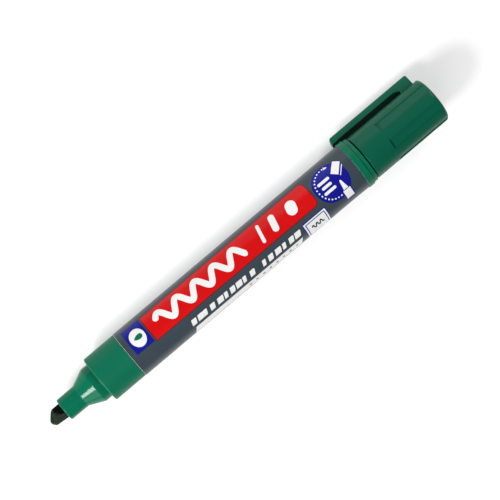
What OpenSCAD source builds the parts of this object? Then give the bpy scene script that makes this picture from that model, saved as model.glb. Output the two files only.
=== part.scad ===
// Whiteboard marker with a chisel nib, shown in use: its cap is pushed onto the rear end.
//
// The pen lies along X with its nib towards -X. The origin is on the pen's axis, halfway along
// the barrel, and the table is below it: the pen lies on its rear collar and the barrel's front end,
// and the clip's edge just clears the table and keeps the pen from rolling.
// Every piece is drawn standing on Z first, and lay_down() then turns it to lie along X.

/* [Barrel] */
// Length of the barrel tube
barrel_length = 88; // [70:1:110]
// Outer diameter of the barrel tube
barrel_d = 15.7; // [13:0.1:20]
// Wall of the barrel tube
barrel_wall = 1.1; // [0.8:0.1:1.4]
// Growth of the barrel's diameter at its rear end, where the plug spreads it
flare = 0.2; // [0:0.1:0.8]
// Length over which the barrel widens
flare_length = 10; // [5:1:16]
// Thickness of the printed film round the barrel
film = 0.1; // [0.06:0.02:0.2]
// Number of ribs inside the barrel that centre the ink reservoir
rib_count = 6; // [3:1:8]

/* [Front section] */
// Length of the wide grip ring
grip_length = 11.6; // [8:0.2:16]
// Depth of the grip's surface below the film's
grip_inset = 0.15; // [0.05:0.05:0.4]
// Length of the ledge that the cap closes on
ledge_length = 2.5; // [1.8:0.1:4]
// Length of the cone
cone_length = 5; // [3:0.5:8]
// Outer diameter of the tube that holds the nib
tube_d = 7.5; // [6.8:0.1:9]
// Length of the tube
tube_length = 6.5; // [4:0.5:10]
// Length of the sleeve that is pressed into the barrel
sleeve_length = 9; // [6:1:14]
// Wall of that sleeve
sleeve_wall = 0.75; // [0.6:0.05:1]

/* [Nib] */
// Width of the nib's broad sides
nib_width = 4.4; // [3.4:0.1:4.8]
// Distance between the nib's broad sides
nib_thickness = 3.4; // [2.6:0.1:3.8]
// Length of nib that stands out of the tube
nib_out = 5.4; // [4:0.2:7]
// Whole length of the nib
nib_length = 32; // [30:1:42]
// Turn of the nib about the pen's axis
nib_roll = 43; // [0:1:180]

/* [Rear plug] */
// Width of the collar against the barrel
collar_width = 2.2; // [1.4:0.2:4]
// Height of the collar over the film's rear end
collar_step = 0.2; // [0.1:0.05:0.3]
// Width of the lower step behind the collar
step_width = 1.35; // [0.8:0.05:2.4]
// Length of the spigot that the cap is pushed onto
spigot_length = 8.5; // [6:0.5:12]
// Length of the plug inside the barrel
plug_length = 9; // [6:1:14]

/* [Cap] */
// Length of the cap
cap_length = 28.3; // [23:0.1:36]
// Wall of the cap at its mouth
cap_wall = 1.57; // [1.2:0.01:1.8]
// Depth of the cap's surface below the grip's
cap_inset = 0.05; // [0:0.05:0.2]
// Distance between the pushed-on cap and the plug's step
post_gap = 0.4; // [0.3:0.1:1]
// Length of the recessed finger panels
panel_length = 19.4; // [12:0.2:24]
// Depth of the finger panels
panel_depth = 0.35; // [0.2:0.05:0.5]
// Angle that one finger panel spans
panel_angle = 24; // [14:1:32]

/* [Clip] */
// Width of the clip
clip_width = 5; // [4:0.2:7]
// Thickness of the clip's arm
clip_thickness = 1.95; // [1.4:0.05:2.6]
// Gap between the clip's arm and the cap
clip_gap = 1.15; // [0.9:0.05:2]
// Reach of the clip past the cap's mouth
clip_reach = 4.25; // [3:0.05:7]
// Length of the solid root that joins the clip to the cap
root_length = 4.5; // [3:0.1:7]
// Length over which the gap under the clip closes towards the root
root_curve = 3; // [2:0.2:4]

/* [Hidden] */
$fn = 96;

// Clearances: press is between pressed pieces, slide between pieces that slide in use, and rest_gap
// is the air between a moving piece and what it passes.
press = 0.03;
slide = 0.08;
rest_gap = 0.3;
overlap = 0.4; // how far one drawn solid runs into the next before they are joined

// Chamfer at the end of a pressed sleeve, and how far the front section's bore steps lie behind
// the steps of its outside
lead_length = 1;
lead_depth = 0.3;
bore_setback = 0.6;

// Radii, from the outside in
barrel_r = barrel_d / 2;
film_r = barrel_r + film;
bore_r = barrel_r - barrel_wall;
flared_r = film_r + flare / 2;
grip_r = film_r - grip_inset;
cap_r = grip_r - cap_inset;
seat_r = cap_r - cap_wall - slide; // of the ledge and of the spigot, which both hold the cap
cap_bore_r = cap_r - cap_wall;
tube_r = tube_d / 2;
sleeve_r = bore_r - press;
wrap_r = sleeve_r - sleeve_wall - press;
wrap_wall = 0.12;
reservoir_r = wrap_r - wrap_wall;
collar_r = flared_r + collar_step;
step_r = cap_r + collar_step;

// Nib: a bar with rounded edges, in a round bore that touches it at its four edges
nib_edge = 0.6;
nib_tip_thickness = 2.2;
nib_reach = norm([nib_width / 2 - nib_edge, nib_thickness / 2 - nib_edge]) + nib_edge;
nib_bore_r = nib_reach + slide;

// Places along the pen
barrel_front = -barrel_length / 2;
barrel_rear = barrel_length / 2;
shoulder = barrel_front - grip_length;
tube_front = shoulder - ledge_length - cone_length - tube_length;
nib_tip = tube_front - nib_out;
cap_mouth = barrel_rear + collar_width + step_width + post_gap;

// Front section
front_wall = 1.3;
stop_depth = 1.2; // from the shoulder to the face that the reservoir rests on

// Reservoir: between the front section's stop and the plug
reservoir_front = shoulder + stop_depth;
reservoir_rear = barrel_rear - plug_length;
nib_taper = 3; // length of the nib's tapered inner end
nib_inner_half = 0.8; // half the width of the nib's inner end, where the taper stops

// Rear plug
plug_wall = 1.1;
fin = 0.9;

// Cap
end_wall = 1.2;
cap_step_z = spigot_length + 1.3; // where the mouth's bore ends and the inner cap's seat begins
inner_seat_r = cap_bore_r - 0.18;
panel_places = 7; // equal places round the cap; the two beside the clip stay plain
clip_recess_angle = 45;
clip_recess = 0.4;

// Clip: distances from the cap's axis, and places along it from the cap's mouth
clip_inner = cap_r + clip_gap;
clip_outer = clip_inner + clip_thickness;
clip_edge = 0.4;
clip_corner = 1.2;
root_inset = 1.85; // from the clip's root to the cap's closed end
root_end = cap_length - root_inset;
root_start = root_end - root_length;
flex_z = root_start - root_curve; // where the clip bends when it is lifted
flex_gap = 0.06; // the cut that lets the clip's arm be a body of its own
bump_r = max(collar_r + rest_gap, clip_inner - 0.4);
bump_length = 2.4;

// The collar lies on the table and the clip's edge just clears it, which sets how far the clip is
// turned up from pointing straight down.
clip_roll = atan2(clip_width / 2 - clip_edge, clip_outer - clip_edge)
    + acos((collar_r - rest_gap - clip_edge) / norm([clip_width / 2 - clip_edge, clip_outer - clip_edge]));

// Points of an arc from angle a0 to a1
function arc(centre, r, a0, a1, steps = 6) =
    [for (i = [0:steps]) let (a = a0 + (a1 - a0) * i / steps) centre + r * [cos(a), sin(a)]];

// Outline of a rectangle about the origin with round corners
function round_rectangle(w, h, r) = concat(
    arc([w / 2 - r, h / 2 - r], r, 0, 90),
    arc([r - w / 2, h / 2 - r], r, 90, 180),
    arc([r - w / 2, r - h / 2], r, 180, 270),
    arc([w / 2 - r, r - h / 2], r, 270, 360)
);

// Lays a piece that stands on Z along X, with its own +X side turned by roll from straight down
module lay_down(x, roll = 0) {
    translate([x, 0, 0]) rotate([roll, 0, 0]) rotate([0, 90, 0]) children();
}

// A solid of revolution from points of (radius, height)
module lathe(points) {
    rotate_extrude() polygon(points);
}

// An outline of (x, z) points, drawn out along Y, and one of (y, z) points, drawn out along X
module side_prism(points, width) {
    rotate([90, 0, 0]) linear_extrude(width, center = true) polygon(points);
}
module plan_prism(points, width) {
    rotate([90, 0, 90]) linear_extrude(width) polygon(points);
}

// Grip ring, ledge, cone and nib tube in one moulding, with a sleeve that is pressed into the barrel
module front_section() {
    round_tube = 0.5;
    round_grip = 0.5;
    cone_z = tube_length;
    ledge_z = cone_z + cone_length;
    grip_z = ledge_z + ledge_length;
    sleeve_z = grip_z + grip_length;
    end_z = sleeve_z + sleeve_length;
    chamber_r = sleeve_r - sleeve_wall;
    color("seagreen") lay_down(tube_front) lathe(concat(
        [[nib_bore_r, 0]],
        arc([tube_r - round_tube, round_tube], round_tube, -90, 0),
        [[tube_r, cone_z], [seat_r, ledge_z], [seat_r, grip_z]],
        arc([grip_r - round_grip, grip_z + round_grip], round_grip, -90, 0),
        [
            [grip_r, sleeve_z], [sleeve_r, sleeve_z],
            [sleeve_r, end_z - lead_length], [sleeve_r - lead_depth, end_z],
            [chamber_r, end_z], [chamber_r, grip_z + stop_depth],
            [seat_r - front_wall, grip_z + stop_depth], [seat_r - front_wall, ledge_z + bore_setback],
            [nib_bore_r, cone_z + bore_setback]
        ]
    ));
}

// Fibre nib: a bar with a slanted writing edge, thinned towards the tip, and a tapered inner end
module nib() {
    slant = 2.3;
    thinned = 4; // length over which the nib thins towards its tip
    half = nib_width / 2;
    edge_line = concat(
        [[half, nib_length], [half, slant + 0.3], [half - 0.25, slant]],
        [[-0.2, 0.3]],
        arc([-0.75, 0.85], 0.85, -85, -150, 4),
        [[0.25 - half, 1], [-half, 2]],
        [[-half, nib_length]]
    );
    thinning = [
        [nib_tip_thickness / 2, 0], [nib_thickness / 2, thinned], [nib_thickness / 2, nib_length - nib_taper],
        [nib_inner_half, nib_length], [-nib_inner_half, nib_length],
        [-nib_thickness / 2, nib_length - nib_taper], [-nib_thickness / 2, thinned],
        [-nib_tip_thickness / 2, 0]
    ];
    inner_end = [
        [half, 0], [half, nib_length - nib_taper], [nib_inner_half, nib_length],
        [-nib_inner_half, nib_length], [-half, nib_length - nib_taper], [-half, 0]
    ];
    color([0.10, 0.13, 0.11]) lay_down(nib_tip, nib_roll) intersection() {
        linear_extrude(nib_length) polygon(round_rectangle(nib_width, nib_thickness, nib_edge));
        side_prism(edge_line, nib_thickness + 1);
        side_prism(inner_end, nib_thickness + 1);
        translate([-nib_width, 0, 0]) plan_prism(thinning, 2 * nib_width);
    }
}

// Barrel tube, spread a little at its rear end, with ribs inside that centre the reservoir
module barrel() {
    rib_width = 0.8;
    rib_start = sleeve_length + 0.5;
    rib_end = barrel_length - plug_length - 0.5;
    rib_inner = wrap_r + slide;
    color([0.36, 0.38, 0.40]) lay_down(barrel_front) {
        lathe([
            [bore_r, 0], [barrel_r, 0], [barrel_r, barrel_length - flare_length],
            [barrel_r + flare / 2, barrel_length], [bore_r, barrel_length]
        ]);
        for (i = [0:rib_count - 1]) rotate([0, 0, 360 * i / rib_count])
            translate([rib_inner, -rib_width / 2, rib_start])
                cube([bore_r + overlap - rib_inner, rib_width, rib_end - rib_start]);
    }
}

// Printed film wrapped round the barrel
module barrel_label() {
    color([0.32, 0.34, 0.36]) lay_down(barrel_front) lathe([
        [barrel_r, 0], [film_r, 0], [film_r, barrel_length - flare_length],
        [flared_r, barrel_length], [barrel_r + flare / 2, barrel_length],
        [barrel_r, barrel_length - flare_length]
    ]);
}

// Fibre rod that holds the ink, with a socket for the nib's inner end
module ink_reservoir() {
    socket_depth = nib_tip + nib_length - reservoir_front;
    color([0.12, 0.36, 0.27]) lay_down(reservoir_front) difference() {
        cylinder(h = reservoir_rear - reservoir_front, r = reservoir_r);
        translate([0, 0, -1]) cylinder(h = socket_depth + 1, r = nib_bore_r);
    }
}

// Plastic film that wraps the fibre rod
module reservoir_wrap() {
    color([0.85, 0.9, 0.88, 0.5]) lay_down(reservoir_front) difference() {
        cylinder(h = reservoir_rear - reservoir_front, r = wrap_r);
        translate([0, 0, -1]) cylinder(h = reservoir_rear - reservoir_front + 2, r = reservoir_r);
    }
}

// Rear plug: pressed into the barrel, with a collar, a lower step and a hollow spigot for the cap
module rear_plug() {
    round_collar = 0.4;
    round_spigot = 0.6;
    step_z = collar_width;
    spigot_z = step_z + step_width;
    end_z = spigot_z + spigot_length;
    hollow_r = seat_r - plug_wall;
    color("seagreen") lay_down(barrel_rear) {
        lathe(concat(
            [[sleeve_r - plug_wall, -plug_length], [sleeve_r - lead_depth, -plug_length]],
            [[sleeve_r, lead_length - plug_length]],
            [[sleeve_r, 0], [collar_r, 0]],
            arc([collar_r - round_collar, step_z - round_collar], round_collar, 0, 90, 4),
            [[step_r, step_z], [step_r, spigot_z], [seat_r, spigot_z]],
            arc([seat_r - round_spigot, end_z - round_spigot], round_spigot, 0, 90, 4),
            [[0, end_z], [0, end_z - plug_wall], [hollow_r, end_z - plug_wall]],
            [[hollow_r, step_z - 1], [sleeve_r - plug_wall, -1]]
        ));
        for (turn = [0, 90]) rotate([0, 0, turn])
            translate([-sleeve_r + plug_wall - overlap, -fin / 2, -plug_length])
                cube([2 * (sleeve_r - plug_wall + overlap), fin, plug_length - 3]);
    }
}

// Side view of the clip: (distance from the cap's axis, height above the cap's mouth)
function clip_outline() =
    let (
        tip = -clip_reach,
        base = cap_r - clip_recess - overlap,
        round_tip = 0.9,
        round_root = 0.5,
        slot_centre = [cap_r - clip_recess, flex_z],
        slot_height = clip_inner - slot_centre[0]
    ) concat(
        arc([clip_outer - round_tip, tip + round_tip], round_tip, -60, 0, 4),
        arc([clip_outer - round_root, root_end - round_root], round_root, 0, 90, 4),
        [[base, root_end + 0.3], [base, root_start]],
        [for (a = [0:15:90]) slot_centre + [slot_height * sin(a), root_curve * cos(a)]],
        [[clip_inner, tip + bump_length], [bump_r, tip + 0.7 * bump_length], [bump_r, tip + 0.4]],
        [[bump_r + 0.3, tip]]
    );

// The whole clip: its side view, rounded along the outer edges and at the free end's corners
module clip_moulding() {
    half = clip_width / 2;
    inside = cap_r - 2;
    section = concat(
        [[inside, -half]],
        arc([clip_outer - clip_edge, clip_edge - half], clip_edge, -90, 0, 4),
        arc([clip_outer - clip_edge, half - clip_edge], clip_edge, 0, 90, 4),
        [[inside, half]]
    );
    plan = concat(
        arc([clip_corner - half, clip_corner - clip_reach], clip_corner, 180, 270),
        arc([half - clip_corner, clip_corner - clip_reach], clip_corner, 270, 360),
        [[half, cap_length], [-half, cap_length]]
    );
    intersection() {
        side_prism(clip_outline(), clip_width + 2);
        translate([0, 0, -clip_reach - 1]) linear_extrude(cap_length + clip_reach + 1) polygon(section);
        plan_prism(plan, clip_outer + 1);
    }
}

// The stretch of that moulding between two heights above the cap's mouth
module clip_stretch(from_z, to_z) {
    intersection() {
        clip_moulding();
        translate([0, -clip_width, from_z]) cube([clip_outer + 1, 2 * clip_width, to_z - from_z]);
    }
}

// Springy arm of the clip. It is moulded in one with the cap, and bends about its outer face at flex_z.
module clip() {
    color("darkgreen") lay_down(cap_mouth, clip_roll) clip_stretch(-clip_reach - 1, flex_z - flex_gap);
}

// A piece of ring, centred on the +X side, for cutting a recess into the cap
module ring_sector(inner, from_z, height, angle) {
    rotate([0, 0, -angle / 2]) rotate_extrude(angle = angle)
        translate([inner, from_z]) square([cap_r + 1 - inner, height]);
}

// Cap: a thick-walled shell with finger panels, a low strip under the clip, and the clip's root
module cap() {
    round_mouth = 0.25;
    round_end = 1.3;
    color("darkgreen") lay_down(cap_mouth, clip_roll) {
        difference() {
            lathe(concat(
                [[cap_bore_r + 0.3, 0]],
                arc([cap_r - round_mouth, round_mouth], round_mouth, -90, 0, 4),
                arc([cap_r - round_end, cap_length - round_end], round_end, 0, 90),
                [[0, cap_length], [0, cap_length - end_wall], [inner_seat_r, cap_length - end_wall]],
                [[inner_seat_r, cap_step_z], [cap_bore_r, cap_step_z], [cap_bore_r, 0.3]]
            ));
            for (i = [2:panel_places - 1]) rotate([0, 0, 360 * (i - 0.5) / panel_places])
                ring_sector(cap_r - panel_depth, cap_length - panel_length, panel_length + 1, panel_angle);
            ring_sector(cap_r - clip_recess, -1, cap_length + 2, 2 * clip_recess_angle);
        }
        clip_stretch(flex_z, cap_length);
    }
}

// Inner cap: a soft cup pressed into the cap, whose lip seals on the nib tube when the pen is closed
module inner_cap() {
    collar_length = 3;
    lip_length = 1.6;
    cup_wall = 0.8;
    lip_r = tube_r + press;
    outer_r = inner_seat_r - press;
    depth = cap_length - end_wall - cap_step_z - press;
    chamber_r = lip_r + 0.5;
    color("honeydew") lay_down(cap_mouth + cap_step_z, clip_roll) lathe([
        [lip_r + 0.5, 0], [outer_r, 0], [outer_r, collar_length], [chamber_r + cup_wall, collar_length + 0.6],
        [chamber_r + cup_wall, depth], [0, depth], [0, depth - cup_wall], [chamber_r, depth - cup_wall],
        [chamber_r, lip_length + 0.5], [lip_r, lip_length], [lip_r, 0.5]
    ]);
}

front_section();
nib();
barrel();
barrel_label();
ink_reservoir();
reservoir_wrap();
rear_plug();
cap();
clip();
inner_cap();
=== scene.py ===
import math

import bmesh
import bpy
import numpy as np
from mathutils import Matrix, Vector


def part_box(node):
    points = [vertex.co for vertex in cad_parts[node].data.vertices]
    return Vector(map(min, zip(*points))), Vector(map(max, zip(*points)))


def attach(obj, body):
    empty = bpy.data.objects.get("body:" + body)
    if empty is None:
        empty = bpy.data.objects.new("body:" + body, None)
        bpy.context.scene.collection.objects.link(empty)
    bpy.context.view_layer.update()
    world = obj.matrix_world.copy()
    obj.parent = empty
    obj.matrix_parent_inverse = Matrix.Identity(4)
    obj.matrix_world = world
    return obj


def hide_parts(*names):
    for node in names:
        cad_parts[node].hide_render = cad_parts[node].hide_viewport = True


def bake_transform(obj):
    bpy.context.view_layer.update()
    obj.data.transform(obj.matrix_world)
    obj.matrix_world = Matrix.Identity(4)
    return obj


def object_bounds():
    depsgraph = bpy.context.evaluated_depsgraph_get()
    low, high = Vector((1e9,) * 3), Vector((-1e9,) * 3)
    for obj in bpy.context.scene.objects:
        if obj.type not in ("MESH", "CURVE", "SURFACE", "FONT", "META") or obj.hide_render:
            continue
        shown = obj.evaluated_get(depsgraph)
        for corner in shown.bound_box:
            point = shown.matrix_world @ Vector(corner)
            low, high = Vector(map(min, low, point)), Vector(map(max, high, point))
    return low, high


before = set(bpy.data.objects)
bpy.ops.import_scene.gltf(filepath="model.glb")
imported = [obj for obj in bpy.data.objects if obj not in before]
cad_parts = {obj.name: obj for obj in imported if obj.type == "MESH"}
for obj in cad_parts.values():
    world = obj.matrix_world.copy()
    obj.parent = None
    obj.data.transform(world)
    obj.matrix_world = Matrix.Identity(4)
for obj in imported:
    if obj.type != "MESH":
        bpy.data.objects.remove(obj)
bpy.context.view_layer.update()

mm = 0.001


# Barrel tube. Moulded in dark polypropylene, open at both ends, and spread a little at the rear
# by the plug. The printed film hides it, so its CAD mesh stays and only gets its material.
def moulded(name, colour, roughness, grain=0.00025, relief=0.15, drift=0.05, polished=None,
            sheen=0.25, fleck=0.011):
    """Moulded plastic. Its colour drifts by the share `drift`, as pigment mixes, in clouds `fleck`
    metres wide. `sheen` is the strength of its reflection. Its skin is the mould's fine grain, a
    bump of strength `relief` whose lumps are `grain` metres wide, and its gloss varies with wear.
    `polished` is (x, roughness): the part of the piece before that x came from a polished part of
    the mould."""
    wear, wear_scale, smoothed, blur = 0.15, 700.0, 0.08, 0.1 * mm
    material = bpy.data.materials.new(name)
    material.use_nodes = True
    nodes, link = material.node_tree.nodes, material.node_tree.links.new
    skin = nodes["Principled BSDF"]
    place = nodes.new("ShaderNodeTexCoord").outputs["Object"]

    def noise(scale, detail):
        cloud = nodes.new("ShaderNodeTexNoise")
        cloud.inputs["Scale"].default_value = scale
        cloud.inputs["Detail"].default_value = detail
        link(place, cloud.inputs["Vector"])
        return cloud.outputs["Fac"]

    def ranged(value, low, high, start=0.0, end=1.0):
        step = nodes.new("ShaderNodeMapRange")
        step.inputs["From Min"].default_value = start
        step.inputs["From Max"].default_value = end
        link(value, step.inputs["Value"])
        for socket, limit in (("To Min", low), ("To Max", high)):
            if isinstance(limit, float):
                step.inputs[socket].default_value = limit
            else:
                link(limit, step.inputs[socket])
        return step.outputs["Result"]

    shade = nodes.new("ShaderNodeValToRGB")
    stops = zip(shade.color_ramp.elements, (0.3, 0.7), (1 - drift, 1 + drift))
    for stop, position, factor in stops:
        stop.position = position
        stop.color = [c * factor for c in colour] + [1]
    link(noise(1 / fleck, 3.0), shade.inputs["Fac"])
    link(shade.outputs["Color"], skin.inputs["Base Color"])
    gloss = ranged(noise(wear_scale, 4.0), roughness * (1 - wear), roughness * (1 + wear))
    bump = nodes.new("ShaderNodeBump")
    bump.inputs["Distance"].default_value = grain / 4
    bump.inputs["Strength"].default_value = relief
    link(noise(1 / grain, 2.0), bump.inputs["Height"])
    if polished:
        axes = nodes.new("ShaderNodeSeparateXYZ")
        link(place, axes.inputs["Vector"])
        border, polish = polished
        gloss = ranged(axes.outputs["X"], polish, gloss, border - blur, border)
        link(ranged(axes.outputs["X"], relief * smoothed, relief, border - blur, border),
             bump.inputs["Strength"])
    link(gloss, skin.inputs["Roughness"])
    link(bump.outputs["Normal"], skin.inputs["Normal"])
    skin.inputs["IOR"].default_value = 1.49
    skin.inputs["Specular IOR Level"].default_value = sheen
    return material


def coat(node, material):
    """Gives a CAD node this material in place of its own."""
    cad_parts[node].data.materials.clear()
    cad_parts[node].data.materials.append(material)


def tune(material, settings):
    """Sets these inputs of a material's shader."""
    for socket, value in settings.items():
        material.node_tree.nodes["Principled BSDF"].inputs[socket].default_value = value


def ends_of(node):
    """Where a CAD node starts and ends along the pen."""
    return [corner.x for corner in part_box(node)]


front_end, rear_end = ends_of("barrel")
coat("barrel", moulded("barrel_plastic", (0.06, 0.066, 0.075), 0.5))

# Ink reservoir and its wrap. A rod of bonded polyester fibre soaked with green ink, in a thin
# clear film that keeps the ink off the barrel's wall. They are dropped in from the rear.
soaked_fibre = moulded("soaked_fibre", (0.01, 0.1, 0.05), 0.75, grain=0.0001, relief=0.8, drift=0.3)
coat("ink_reservoir", soaked_fibre)
clear_film = moulded("clear_film", (0.75, 0.85, 0.8), 0.2, relief=0.03)
tune(clear_film, {"Transmission Weight": 0.8})
coat("reservoir_wrap", clear_film)


# Front section. One green moulding, turned in the mould about the pen's axis: grip ring, ledge
# for the cap, polished cone and nib tube, and a sleeve that is pressed into the barrel.
def rounded(corners):
    """An outline of (x, r) corners, each with an optional fillet radius. A filleted corner is cut
    off at radius / tan(half its angle) along both its sides, and an arc of that radius joins the
    cuts. One more point `flat` before and behind the arc keeps the straight sides' shading flat."""
    steps, flat = 8, 0.03 * mm
    places = np.array([c[:2] for c in corners], float)
    line = []
    for k, corner in enumerate(corners):
        if len(corner) < 3:
            line.append(places[k][None])
            continue
        here, radius = places[k], corner[2]
        sides = np.array([places[k - 1], places[(k + 1) % len(places)]]) - here
        sides /= np.linalg.norm(sides, axis=1, keepdims=True)
        half = math.acos(sides[0] @ sides[1]) / 2
        middle = here + sides.sum(0) / np.linalg.norm(sides.sum(0)) * radius / math.sin(half)
        spokes = (here + sides * radius / math.tan(half) - middle) / radius
        sweep = math.pi - 2 * half
        t = np.linspace(0, 1, steps + 1)[:, None]
        spread = np.sin((1 - t) * sweep) * spokes[0] + np.sin(t * sweep) * spokes[1]
        arc = middle + radius * spread / math.sin(sweep)
        line += [arc[:1] + sides[0] * flat, arc, arc[-1:] + sides[1] * flat]
    return np.concatenate(line)


def skin_of(name, points, faces, material, angle=32):
    """A mesh object of these points and faces. Points that coincide are merged, faces turned
    outwards, and edges that turn by more than `angle` degrees stay sharp."""
    coincident = 0.0001 * mm
    mesh = bpy.data.meshes.new(name)
    mesh.from_pydata(points, [], faces)
    shell = bmesh.new()
    shell.from_mesh(mesh)
    bmesh.ops.remove_doubles(shell, verts=shell.verts, dist=coincident)
    bmesh.ops.recalc_face_normals(shell, faces=shell.faces)
    shell.to_mesh(mesh)
    shell.free()
    mesh.shade_smooth()
    mesh.set_sharp_from_angle(angle=math.radians(angle))
    mesh.materials.append(material)
    piece = bpy.data.objects.new(name, mesh)
    bpy.context.scene.collection.objects.link(piece)
    return piece


def grid_faces(rows, columns, ring=False):
    """The faces of a grid of rows x columns points, numbered row by row, whose rows are closed
    loops. In a ring the last row joins the first, and otherwise both of them are end faces."""
    i = np.arange(rows if ring else rows - 1)[:, None]
    j = np.arange(columns)
    here, beyond, beside = i * columns, (i + 1) % rows * columns, (j + 1) % columns
    quads = np.broadcast_arrays(here + j, beyond + j, beyond + beside, here + beside)
    ends = [] if ring else [list(range(columns)), list(range((rows - 1) * columns, rows * columns))]
    return np.stack(quads, -1).reshape(-1, 4).tolist() + ends


def grid_skin(name, points, material, ring=False, angle=32):
    """A mesh object over a grid of points, as an array of rows x columns x 3."""
    faces = grid_faces(*points.shape[:2], ring)
    return skin_of(name, points.reshape(-1, 3), faces, material, angle)


whole_turn = np.arange(192) * 2 * np.pi / 192


def turned(x, radius, turn):
    """Points at these places along the pen, distances from its axis and turns about it."""
    return np.stack(np.broadcast_arrays(x, radius * np.cos(turn), radius * np.sin(turn)), -1)


def lathe(name, outline, material, angle=32):
    """A closed outline of (x, r) points turned about the pen's axis: at turn a, a point goes to
    (x, r cos a, r sin a)."""
    points = turned(outline[:, :1], outline[:, 1:], whole_turn)
    return grid_skin(name, points, material, ring=True, angle=angle)


green = (0.0018, 0.128, 0.066)
grip_r, seat_r, tube_r, sleeve_r = 7.8 * mm, 6.1 * mm, 3.75 * mm, 6.72 * mm
nib_bore_r, sleeve_bore_r, ledge_bore_r = 2.62 * mm, sleeve_r - 0.75 * mm, 4.8 * mm
tube_front, sleeve_end = ends_of("front_section")
cone_front = tube_front + 6.5 * mm
ledge_front = cone_front + 5 * mm
shoulder = ledge_front + 2.5 * mm
grip_wall, cone_wall, seam = 1.2 * mm, 0.6 * mm, 0.04 * mm
front_green = moulded("front_green", green, 0.42, grain=0.00016, relief=0.35,
                      polished=(shoulder, 0.16), sheen=0.15)
front_section = lathe("front_section", rounded([
    (tube_front, nib_bore_r, 0.15 * mm), (tube_front, tube_r, 0.5 * mm),
    (cone_front, tube_r, 1.2 * mm), (ledge_front, seat_r, 0.4 * mm),
    (shoulder, seat_r, 0.2 * mm), (shoulder, grip_r, 0.5 * mm),
    (front_end - seam, grip_r, 0.12 * mm), (front_end - seam, sleeve_r),
    (sleeve_end, sleeve_r, 0.3 * mm), (sleeve_end, sleeve_bore_r),
    (shoulder + grip_wall, sleeve_bore_r), (shoulder + grip_wall, ledge_bore_r),
    (ledge_front + cone_wall, ledge_bore_r), (cone_front + cone_wall, nib_bore_r),
]), front_green, angle=40)
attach(front_section, "pen")
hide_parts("front_section")

# Nib. A bar of bonded acrylic fibre, soaked black with ink, ground to a slanted writing edge and
# thinned towards it. It is pushed into the tube, and its inner end stands in the reservoir.
nib_tip, nib_end = ends_of("nib")
nib_roll = math.radians(43)


def of_faces(piece, what):
    """The "center" or the "normal" of each face, as an array of rows."""
    values = np.empty(3 * len(piece.data.polygons))
    piece.data.polygons.foreach_get(what, values)
    return values.reshape(-1, 3)


def paint_faces(piece, material, chosen):
    """Gives the chosen faces a second material."""
    piece.data.materials.append(material)
    piece.data.polygons.foreach_set("material_index", chosen.astype(np.int32))


def slanted(w):
    """Distance of the writing edge behind the nib's foremost point, at each place across it."""
    return np.interp(w / mm, [-2.2, -1.95, -1.49, -1.1, -0.68, -0.2, 1.95, 2.2],
                     [2.0, 1.0, 0.42, 0.07, 0.0, 0.3, 1.9, 2.2]) * mm


def ground(w):
    """Length of the ground stretch behind the writing edge, from long to short across the nib."""
    return np.interp(w / mm, [-2.2, -0.9, 0.3, 2.2], [4.2, 3.8, 2.0, 0.7]) * mm


def fibre_nib():
    """Ring i of the bar lies at depth d behind the writing edge. Point (w, t) of a rounded
    rectangle, w across the broad sides, goes to x = tip + slant(w) + d, where the slant fades out
    with depth. t is scaled down in front of an oblique line, ground(w), where the grinding of the
    broad sides begins. The first rings close the edge in a low arch."""
    half_w, half_t, corner_r = 2.2 * mm, 1.7 * mm, 0.6 * mm
    writing_share, arch_height, straight = 0.62, 0.1 * mm, 8
    peg_depth, peg_share = 29.5 * mm, 0.5
    a = np.linspace(0, 2 * np.pi, 49)[:-1].reshape(4, 12)
    w, t = corner_r * np.cos(a), corner_r * np.sin(a)
    w += (half_w - corner_r) * np.array([1, -1, -1, 1])[:, None]
    t += (half_t - corner_r) * np.array([1, 1, -1, -1])[:, None]
    corners = np.stack([w, t], -1).reshape(-1, 2)
    nexts = np.roll(corners, -1, 0)
    steps = np.linspace(0, 1, 5)[:-1]
    loop = (corners[:, None] + (nexts - corners)[:, None] * steps[:, None]).reshape(-1, 2)
    w, t = loop[:, 0], loop[:, 1]
    inward = np.array([0, 0.3, 0.6, 0.85, 0.96])
    behind = np.concatenate([np.geomspace(0.04, 4.4, 26), [straight, 14, 20, 26, 29, 30.3]])
    depth = np.concatenate([inward * 0, behind]) * mm
    close = np.concatenate([inward, np.ones(len(behind))])
    grind = np.clip(depth[:, None] / ground(w), 0, 1)
    taper = np.interp(depth / mm, [28, 30.3], [1, peg_share]) * close
    thin = (writing_share + (1 - writing_share) * grind) * taper[:, None]
    arch = arch_height * (1 - close ** 2)
    fade = np.interp(depth / mm, [0, straight], [1, 0])
    x = nib_tip + slanted(w) * fade[:, None] + (depth - arch)[:, None] + arch_height
    x[-1] = nib_end
    w_grid = np.broadcast_to(w, x.shape) * np.where(depth > peg_depth, peg_share, 1.0)[:, None]
    t_grid = t * thin
    y = w_grid * math.sin(nib_roll) + t_grid * math.cos(nib_roll)
    z = -w_grid * math.cos(nib_roll) + t_grid * math.sin(nib_roll)
    return np.stack([x, y, z], -1)


fibre = moulded("nib_fibre", (0.001, 0.002, 0.0012), 0.6, grain=0.00013, relief=0.8, drift=0.6,
                sheen=0.05)
# The ground end behind the writing edge and the narrow side at one edge get a lighter fibre colour:
# painted light, where those facets face the lamps. Its coarser grain and finer flecks are the
# fibre's own texture.
painted_light_fibre = moulded("painted_light_fibre", (0.016, 0.025, 0.016), 0.8, grain=0.00022, relief=1.0,
                     drift=0.85, sheen=0.12, fleck=0.0004)
nib = grid_skin("nib", fibre_nib(), fibre, angle=28)
middle = of_faces(nib, "center")
across = middle[:, 1] * math.sin(nib_roll) - middle[:, 2] * math.cos(nib_roll)
# The faces that get the painted light: the ground end, and the narrow side at the far negative edge
# across the nib.
painted_light_end = middle[:, 0] - nib_tip < ground(across) + slanted(across)
painted_light_side = across < -1.9 * mm
paint_faces(nib, painted_light_fibre, painted_light_end | painted_light_side)
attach(nib, "nib")
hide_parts("nib")

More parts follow.
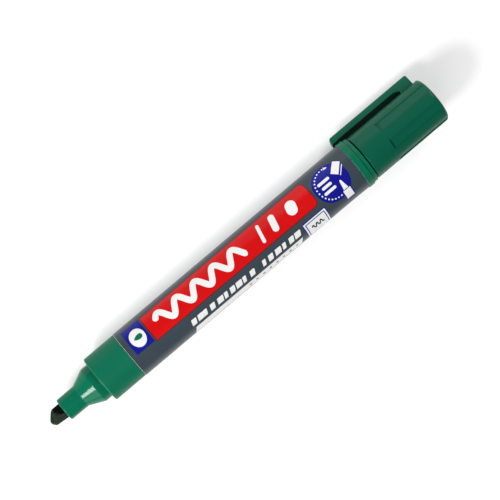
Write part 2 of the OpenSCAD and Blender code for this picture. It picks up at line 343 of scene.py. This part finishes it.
# Rear plug. Green like the front section and moulded in one: a collar that ends the barrel, a
# lower step, a hollow spigot that the cap is pushed onto, and crossed fins inside the barrel.
collar_r, step_r, plug_bore_r, spigot_bore_r = 8.25 * mm, 7.95 * mm, 5.62 * mm, 5 * mm
plug_front, spigot_end = ends_of("rear_plug")
collar_end = rear_end + 2.2 * mm
step_end = collar_end + 1.35 * mm
spigot_wall = 1.1 * mm
plug_green = moulded("plug_green", green, 0.3, grain=0.0002, relief=0.12, sheen=0.15)
rear_plug = lathe("rear_plug", rounded([
    (plug_front, plug_bore_r), (plug_front, sleeve_r, 0.3 * mm), (rear_end + seam, sleeve_r),
    (rear_end + seam, collar_r, 0.12 * mm), (collar_end, collar_r, 0.35 * mm),
    (collar_end, step_r, 0.1 * mm), (step_end, step_r, 0.25 * mm),
    (step_end, seat_r, 0.1 * mm), (spigot_end, seat_r, 0.6 * mm), (spigot_end, 0.0),
    (spigot_end - spigot_wall, 0.0), (spigot_end - spigot_wall, spigot_bore_r),
    (collar_end - 1 * mm, spigot_bore_r), (rear_end - 1 * mm, plug_bore_r),
]), plug_green, angle=40)
fin, reach = 0.45 * mm, 5.7 * mm
arm = np.array([(fin, fin), (fin, reach), (-fin, reach)])
quarter_turn = np.array([(0, 1), (-1, 0)])
cross = np.concatenate([arm @ np.linalg.matrix_power(quarter_turn, k) for k in range(4)])
stations = (plug_front + 0.1 * mm, plug_front + 6 * mm)
points = np.stack([np.insert(cross, 0, x, axis=1) for x in stations])
plug_fins = grid_skin("plug_fins", points, plug_green)
for piece in (rear_plug, plug_fins):
    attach(piece, "pen")
    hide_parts("rear_plug")

# Label. A white plastic film printed dark grey, wrapped once round the barrel and lapped along
# the underside. It follows the barrel where that widens, and its cut edges show white.
film_r, flared_r, flare, film_thickness = 7.95 * mm, 8.05 * mm, 10 * mm, 0.04 * mm
lap_turn, lap_width = math.radians(272), 3 * mm
front_cut, rear_cut = 0.06 * mm, 0.03 * mm


def film_radius(x, turn):
    """Radius of the film's outside: constant along x, then rising to the rear end on a smooth
    ramp, and higher by the film's thickness where a second layer lies over the first, with a crisp
    edge on one side."""
    crisp, gentle = 0.04 * mm, 0.8 * mm
    t = np.clip((x - (rear_end - flare)) / flare, 0, 1)
    arc = film_r * ((np.asarray(turn) - lap_turn + math.pi) % (2 * math.pi) - math.pi)
    upper = np.clip((lap_width / 2 - arc) / crisp, 0, 1)
    lower = np.clip((arc + lap_width / 2) / gentle, 0, 1)
    ramp = (flared_r - film_r) * t * t * (1.5 - 0.5 * t)
    return film_r - film_thickness + ramp + film_thickness * upper * lower


along = np.concatenate([[front_end + front_cut],
                        np.linspace(front_end + 1 * mm, rear_end - 1 * mm, 120),
                        [rear_end - rear_cut]])
lap_edge = lap_turn + lap_width / 2 / film_r + np.array([-0.006, -0.001, 0.001])
turns = np.unique(np.concatenate([whole_turn, lap_edge]))
outer = film_radius(along[:, None], turns)
radii = np.concatenate([outer, outer[::-1] - film_thickness])
points = turned(np.concatenate([along, along[::-1]])[:, None], radii, turns)
film = moulded("label_film", (0.036, 0.051, 0.064), 0.3, grain=0.0004, relief=0.06, drift=0.03)
label = grid_skin("barrel_label", points, film, ring=True)
white_film = moulded("white_film", (0.7, 0.7, 0.69), 0.45)
cut_edges = []
for tag, start, end in (("front", front_end, front_end + front_cut),
                        ("rear", rear_end, rear_end - rear_cut)):
    r = float(film_radius(start, math.radians(90)))
    cut_edges.append(lathe(f"label_edge_{tag}", rounded([
        (start, r - film_thickness), (start, r, 0.02 * mm), (end, r), (end, r - film_thickness),
    ]), white_film))
for piece in (label, *cut_edges):
    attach(piece, "pen")
    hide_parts("barrel_label")

# Print on the label. Flat inks, laid on the film before it is wrapped: a red panel with a drawn
# wave and three strokes of growing width, an ink drop, plain bars, a small board with a squiggle,
# and a round badge about the cap.
print_turn = math.radians(74.3)


def ink(name, shapes, colour, lift):
    """One colour of print. A shape is two edge lines of (x, v) points in mm, x along the pen and v
    round the film from the print's middle line. Points between the edges are wrapped on the film
    as turn = print_turn - v / film radius, and a patch stands `lift` mm proud of the film."""
    spacing, sunk = 0.35, -0.01
    points, faces, first = [], [], 0
    for low, high in shapes:
        low, high = np.asarray(low, float), np.asarray(high, float)
        columns = int(max(2, np.abs(high - low).max() / spacing)) + 1
        flat = low[:, None] + (high - low)[:, None] * np.linspace(0, 1, columns)[:, None]
        loop = np.concatenate([flat, flat[:, ::-1]], 1)
        height = np.repeat([lift, sunk], columns) * mm
        x = loop[..., 0] * mm
        turn = print_turn - loop[..., 1] * mm / film_r
        points.append(turned(x, film_radius(x, turn) + height, turn).reshape(-1, 3))
        faces += [[first + p for p in face] for face in grid_faces(len(low), 2 * columns)]
        first += len(points[-1])
    finish = moulded(name, colour, 0.3, grain=0.0004, relief=0.05, drift=0.03)
    piece = skin_of(name, np.concatenate(points), faces, finish)
    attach(piece, "pen")


def corner_fall(distance, radius):
    """How far a round corner of radius R lies below its flat side, at a distance d from its end:
    R - sqrt(R^2 - (R - d)^2), and nothing where d is more than R."""
    inside = np.clip(radius - distance, 0, None)
    return radius - np.sqrt(np.clip(radius ** 2 - inside ** 2, 0, None))


def block(x0, x1, v0, v1, corner=0.01, slope=0.0):
    """A rectangle whose right-hand corners are round, and whose upper edge is shifted along by
    `slope` for each millimetre of height."""
    x = np.concatenate([np.linspace(x0, x1 - corner, max(2, int((x1 - x0) / 1.5) + 2)),
                        x1 - corner + corner * np.sin(np.linspace(0, np.pi / 2, 9)[1:])])
    cut = corner_fall(x1 - x, corner)
    return np.stack([x, v0 + cut], -1), np.stack([x + slope * (v1 - v0), v1 - cut], -1)


def disc(x, v, radius, ratio=1.0):
    """A disc between its lower and its upper half circle, `ratio` times as wide round the film."""
    a = np.linspace(0, np.pi, 33 if radius > 1 else 9)
    middle = x - radius * np.cos(a)
    return [np.stack([middle, v + s * ratio * radius * np.sin(a)], -1) for s in (-1, 1)]


def stroke(path, half, round_ends=True):
    """A line drawn with a felt tip: each path point is pushed out by the half width along the
    path's normal, to both sides, and the half width falls as a quarter circle at round ends."""
    path = np.asarray(path, float)
    heading = np.gradient(path, axis=0)
    heading /= np.linalg.norm(heading, axis=1, keepdims=True)
    run = np.concatenate([[0], np.cumsum(np.linalg.norm(np.diff(path, axis=0), axis=1))])
    width = np.full(len(path), half)
    if round_ends:
        width = half - corner_fall(np.minimum(run, run[-1] - run), half)
    normal = np.stack([-heading[:, 1], heading[:, 0]], -1) * width[:, None]
    return path - normal, path + normal


def line(x0, v0, x1, v1, steps=24):
    """Points of a straight path, closer together at its ends, so that round ends stay round."""
    t = (1 - np.cos(np.linspace(0, np.pi, steps))) / 2
    return np.stack([x0 + (x1 - x0) * t, v0 + (v1 - v0) * t], -1)


panel = np.array([-34.75, 28.2, -2.0, 7.1])
outwards = np.array([-1, 1, -1, 1])
wave_x = np.linspace(-31.5, 2.5, 220)
wave = np.stack([wave_x, 2.5 + 2.1 * np.sin((wave_x + 31.5) * 2 * np.pi / 7.2)], -1)
disc_x, disc_v, disc_r = 35.1, 0.45, 5.95
dots = np.radians(np.arange(178, 368, 12.5))
white, red = (0.74, 0.74, 0.73), (0.55, 0.002, 0.003)
blue, dark = (0.004, 0.006, 0.22), (0.012, 0.014, 0.03)


def on_disc(x0, v0, x1, v1, steps=24):
    """Points of a straight path, measured from the middle of the badge."""
    return line(disc_x + x0, disc_v + v0, disc_x + x1, disc_v + v1, steps)


ink("print_outline", [block(*(panel + 0.2 * outwards), 1.8)], (0.06, 0.004, 0.006), 0.014)
ink("print_red", [block(*panel, 1.6)], red, 0.024)
ink("print_blue", [
    disc(disc_x, disc_v, disc_r, 1.07),
    block(20.0, 29.0, -11.8, -3.9, 0.3),
    block(-42.05, -35.4, -1.7, 7.5, 0.05),
    block(disc_x + 0.75, disc_x + 4.05, disc_v - 8.4, disc_v - 4.0, 0.3),
    stroke(on_disc(2.2, 1.1, 5.5, 4.4), 1.45, False),
], blue, 0.018)
bar = np.arange(17)
bar_length = 1.75 + 0.55 * np.sin(2.1 * bar)
bar_start = -24.2 + 2.53 * bar + 0.25 * np.cos(1.3 * bar)
ink("print_white", [
    stroke(wave, 0.95),
    *[stroke(line(x, low, x + 1.4, high), half) for x, low, high, half in (
        (8.4, -0.6, 5.6, 0.55), (13.4, -0.3, 5.3, 1.05), (20.4, 0.2, 4.8, 1.75))],
    *[block(x, x + length, -6.5, -4.3, 0.25, slope=0.25)
      for x, length in zip(bar_start, bar_length) if abs(x - 2) > 1.3],
    block(-24.4, 17.2, -10.9, -7.8, slope=0.35),
    block(20.3, 28.7, -11.5, -4.2, 0.2),
    *[disc(disc_x + 4.95 * math.sin(a), disc_v + 5.25 * math.cos(a), 0.26) for a in dots],
    stroke(on_disc(0.9, 5.15, 2.0, 4.75, 6), np.linspace(0.55, 0.05, 6), False),
    *[stroke(on_disc(-3.9 + 0.4 * short, v, 0.5 - 0.4 * short, v), 0.46)
      for v, short in ((-1.7, 0), (0.0, 1), (1.7, 0))],
    stroke(on_disc(2.4, 1.3, 5.3, 4.2), 1.2, False),
    stroke(on_disc(3.6, -0.1, 6.0, 2.3), 0.13, False),
    stroke(on_disc(2.4, -8.1, 2.4, -4.6), 1.3, False),
    stroke(on_disc(2.4, -4.35, 2.4, -1.1, 12), np.linspace(0.95, 0.15, 12), False),
    disc(-38.7, 2.4, 2.55, 1.2),
], white, 0.034)
ink("print_marks", [block(20.8, 28.2, -11.0, -4.7, 0.1)], blue, 0.04)
ink("print_board", [block(21.1, 27.9, -10.8, -5.0, 0.1)], white, 0.046)
squiggle_x = np.linspace(22.4, 26.8, 60)
squiggle = np.stack([squiggle_x, -7.4 + 0.8 * np.sin((squiggle_x - 22.4) * 4.2)], -1)
ink("print_squiggle", [
    stroke(squiggle, 0.22),
    *[stroke(line(x, -9.3, x + 0.9, -9.3), 0.3) for x in np.arange(-3.0, 16.0, 2.6)],
], dark, 0.05)
drop_a = np.linspace(0, np.pi, 33)
drop_x = -38.55 - 1.5 * np.cos(drop_a)
drop_half = 1.05 * np.sin(drop_a) * np.sin(drop_a / 2) ** 0.7
drop = [np.stack([drop_x, 2.4 + side * drop_half], -1) for side in (-1, 1)]
ink("print_drop", [drop], green, 0.045)

# Cap. A green shell, darker than the front section, with shallow finger panels that run out at
# its closed end and a lower strip under the clip. It is pushed onto the spigot by its bore.
cap_mouth, cap_end = ends_of("cap")
clip_roll = math.radians(56.264)


def about_clip(x, outward, sideways):
    """Turns distances in the clip's direction and square to it into the pen's y and z."""
    y = outward * math.sin(clip_roll) + sideways * math.cos(clip_roll)
    z = -outward * math.cos(clip_roll) + sideways * math.sin(clip_roll)
    return np.stack(np.broadcast_arrays(x, y, z), -1)


def cap_shell():
    """Point (x, a) of the outside lies at the smallest of three radii: the turned outline with
    round ends, a panel's flat floor, which is a chord at r = floor_r * cos(half panel) / cos(a -
    centre), and the floor of the strip under the clip. Grid lines crowd at the steps, which keeps
    them crisp. The inside follows as plain rings."""
    length = (cap_end - cap_mouth) / mm
    outer_r, floor_r, bore_r, seat_r, lead = 7.75, 7.45, 6.18, 6.0, 0.3
    lip, end, end_wall, seat_start = 0.25, 1.3, 1.2, 9.8
    panel_start, ramp, strip_depth = length - 19.7, 0.05, 0.24
    half_panel, half_strip, step = 12.0, 45.0, 0.35
    centres = 360 * (np.arange(2, 7) - 0.5) / 7
    marks = [c + s * (half_panel + e) for c in centres for s in (-1, 1) for e in (0, step)]
    marks += [half_strip, half_strip + step, 360 - half_strip, 360 - half_strip - step]
    turn = np.unique(np.concatenate([np.arange(0, 360, 2.0), marks]))
    from_clip = np.minimum(turn, 360 - turn)
    from_panel = np.abs(turn[:, None] - centres).min(1)
    panel = np.clip((half_panel + step - from_panel) / step, 0, 1)
    strip = np.clip((half_strip + step - from_clip) / step, 0, 1)
    a = np.linspace(0, np.pi / 2, 13)
    x = np.concatenate([
        lip * (1 - np.cos(a[::3])), np.linspace(0.6, panel_start - 0.2, 8),
        [panel_start, panel_start + ramp],
        np.linspace(panel_start + 0.6, length - end - 0.3, 16), length - end + end * np.sin(a)])
    outline = outer_r - corner_fall(x, lip) - corner_fall(length - x, end)
    chord = np.cos(np.radians(half_panel)) / np.cos(np.radians(np.minimum(from_panel, half_panel)))
    panel_depth = (outer_r - floor_r * chord) * panel
    along_panel = np.clip((x - panel_start) / ramp, 0, 1)
    floor = outer_r - np.maximum(panel_depth * along_panel[:, None], strip_depth * strip)
    outside = np.minimum(outline[:, None], floor)
    floor_x = length - end_wall
    ring_x = np.array([length, floor_x, floor_x, seat_start, seat_start, lead, 0])
    ring_r = np.array([0, 0, seat_r, seat_r, bore_r, bore_r, bore_r + lead])
    x = np.concatenate([x, ring_x])
    radius = np.concatenate([outside, np.repeat(ring_r[:, None], len(turn), 1)]) * mm
    angle = np.radians(turn)
    return about_clip(cap_mouth + x[:, None] * mm, radius * np.cos(angle), radius * np.sin(angle))


cap_green = (0.0014, 0.087, 0.048)
cap_plastic = moulded("cap_plastic", cap_green, 0.34, grain=0.00018, relief=0.22, sheen=0.16)
cap = grid_skin("cap", cap_shell(), cap_plastic, ring=True, angle=24)
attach(cap, "cap")
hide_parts("cap")

# Clip. Moulded in one with the cap: a solid root, and a springy arm that reaches past the mouth
# with a bump under its free end. It is lifted by hand and bends just before the root.
clip_tip, clip_flex, clip_root, clip_end = -4.25, 18.95, 21.95, 26.45


def clip_moulding():
    """Ring i of the clip lies at height h above the cap's mouth. It is a rectangle from inner(h)
    to outer(h) across, with half width side(h), whose upper edges are rounded and whose lower ones
    are bevelled. inner falls to the cap along a quarter ellipse at the root, and the free end's
    corners close along quarter circles."""
    outer_r, tip_r, bump_r, arm_r, floor_r, sunk_r = 10.85, 8.9, 8.58, 8.72, 7.35, 6.95
    half_width, tip_round, side_round, end_round, soft = 2.5, 0.9, 1.2, 0.5, 0.42
    bump = clip_tip + np.array([0.4, 1.68, 2.4])
    curve = clip_root - clip_flex
    a = np.linspace(0, np.pi / 2, 9)
    h = np.unique(np.round(np.concatenate([
        clip_tip + side_round * (1 - np.cos(a)), bump, np.arange(-1.6, clip_flex, 0.6),
        clip_flex + curve * np.sin(a), np.linspace(clip_root + 0.3, clip_end - 0.6, 8),
        clip_end - end_round + end_round * np.sin(a)]), 4))
    outer = outer_r - corner_fall(h - clip_tip, tip_round) - corner_fall(clip_end - h, end_round)
    inner = np.interp(h, [clip_tip, *bump], [tip_r, bump_r, bump_r, arm_r])
    ellipse = np.sqrt(np.clip(1 - ((h - clip_flex) / curve) ** 2, 0, 1))
    inner = np.where(h > clip_flex, floor_r + (arm_r - floor_r) * ellipse, inner)
    inner = np.where(h >= clip_root, sunk_r, inner)
    side = half_width - corner_fall(h - clip_tip, side_round)
    a = np.linspace(0, np.pi / 2, 6)
    round_in, round_down = soft * (1 - np.cos(a)), soft * (1 - np.sin(a))
    bevel = np.array([0.0, 0.12])
    low, top, half = inner[:, None], outer[:, None], side[:, None]
    across = [bevel - half, half - bevel[::-1], half - round_in, round_in[::-1] - half]
    up = [low + bevel[::-1], low + bevel, top - round_down, top - round_down[::-1]]
    across, up = np.concatenate(across, 1), np.concatenate(up, 1)
    return about_clip(cap_mouth + h[:, None] * mm, up * mm, across * mm)


clip = grid_skin("clip", clip_moulding(), cap_plastic, angle=30)
# The arm's underside, the faces that turn towards the cap, gets a green about a third as bright as
# the cap's: painted shade in the slot under the arm. It is also rougher and reflects less.
shaded_underside = moulded("painted_shade_green", (0.001, 0.03, 0.017), 0.75, grain=0.0003, relief=0.3, sheen=0.05)
inwards = about_clip(0.0, -1.0, 0.0)
faces_cap = of_faces(clip, "normal") @ inwards > 0.4
paint_faces(clip, shaded_underside, faces_cap)
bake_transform(clip)
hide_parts("clip")

# Inner cap. A soft polyethylene cup pressed into the cap, whose lip seals on the nib tube when
# the pen is closed. It shows only when the cap is off.
soft_white = moulded("soft_polyethylene", (0.7, 0.72, 0.68), 0.45, relief=0.08)
tune(soft_white, {"Subsurface Weight": 0.1})
coat("inner_cap", soft_white)

# Table and studio. A pale matt table under an even pale sky. Three soft boxes stand beyond the
# nib's end, one beyond the cap's end, and a low one on the clip's side.
low_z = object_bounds()[0].z
bpy.ops.mesh.primitive_plane_add(size=6, location=(0, 0, low_z))
table = bpy.context.object
table.name = "table"
paper = moulded("pale_table", (0.55, 0.55, 0.55), 0.8, grain=0.001, relief=0.05, drift=0.01)
table.data.materials.append(paper)
tune(paper, {"Emission Color": (1, 1, 1, 1), "Emission Strength": 0.46})

elevation, slope = math.radians(74.26), math.radians(40.17)
to_camera = Vector((0, math.cos(elevation), math.sin(elevation)))
to_clip = Vector((0, math.sin(elevation), -math.cos(elevation)))
along_pen = Vector((1, 0, 0))


def soft_box(name, direction, distance, width, height, power):
    """A rectangular lamp at that distance from the pen, facing it."""
    lamp = bpy.data.lights.new(name, "AREA")
    lamp.shape, lamp.size, lamp.size_y, lamp.energy = "RECTANGLE", width, height, power
    box = bpy.data.objects.new(name, lamp)
    direction = direction.normalized()
    box.location = direction * distance
    box.rotation_euler = direction.to_track_quat("Z", "Y").to_euler()
    bpy.context.scene.collection.objects.link(box)


soft_box("nib_end", -0.8 * along_pen + 0.57 * to_camera - 0.2 * to_clip, 0.9, 0.3, 0.18, 8)
soft_box("nib_low", -0.7 * along_pen + 0.2 * to_camera - 0.7 * to_clip, 1.0, 0.6, 0.5, 2.5)
soft_box("nib_sky", -0.55 * along_pen + 0.75 * to_camera - 0.4 * to_clip, 1.1, 0.25, 0.8, 2.5)
soft_box("cap_sky", 0.75 * along_pen + 0.6 * to_camera + 0.3 * to_clip, 1.1, 0.3, 0.9, 6.5)
soft_box("clip_side", 0.35 * along_pen + 0.5 * to_camera + 0.85 * to_clip, 1.05, 0.5, 0.6, 2.0)
world = bpy.data.worlds.new("studio")
world.use_nodes = True
sky = world.node_tree.nodes["Background"].inputs
sky["Color"].default_value = (1, 1, 1, 1)
sky["Strength"].default_value = 0.14
bpy.context.scene.world = world
bpy.context.scene.view_settings.view_transform = "Standard"

# Camera. A long lens 0.6 m above the pen, a little to the clip's side and towards the nib, rolled
# so that the pen lies from the lower left, where its nib is, to the upper right.
camera_distance = 0.6
eye = Vector((-29.5 * mm, 0, 0)) + camera_distance * to_camera
aim = Vector((4.0 * mm, 0, 0)) + 0.7 * mm * to_clip
back = (eye - aim).normalized()
pen_line = (along_pen - along_pen.dot(back) * back).normalized()
clip_line = back.cross(pen_line)
right = pen_line * math.cos(slope) - clip_line * math.sin(slope)
up = pen_line * math.sin(slope) + clip_line * math.cos(slope)
lens = bpy.data.cameras.new("camera")
lens.lens, lens.sensor_width, lens.clip_start = 143.5, 36, 0.01
camera = bpy.data.objects.new("camera", lens)
camera.matrix_world = Matrix((right, up, back)).transposed().to_4x4()
camera.location = eye
bpy.context.scene.collection.objects.link(camera)
bpy.context.scene.camera = camera
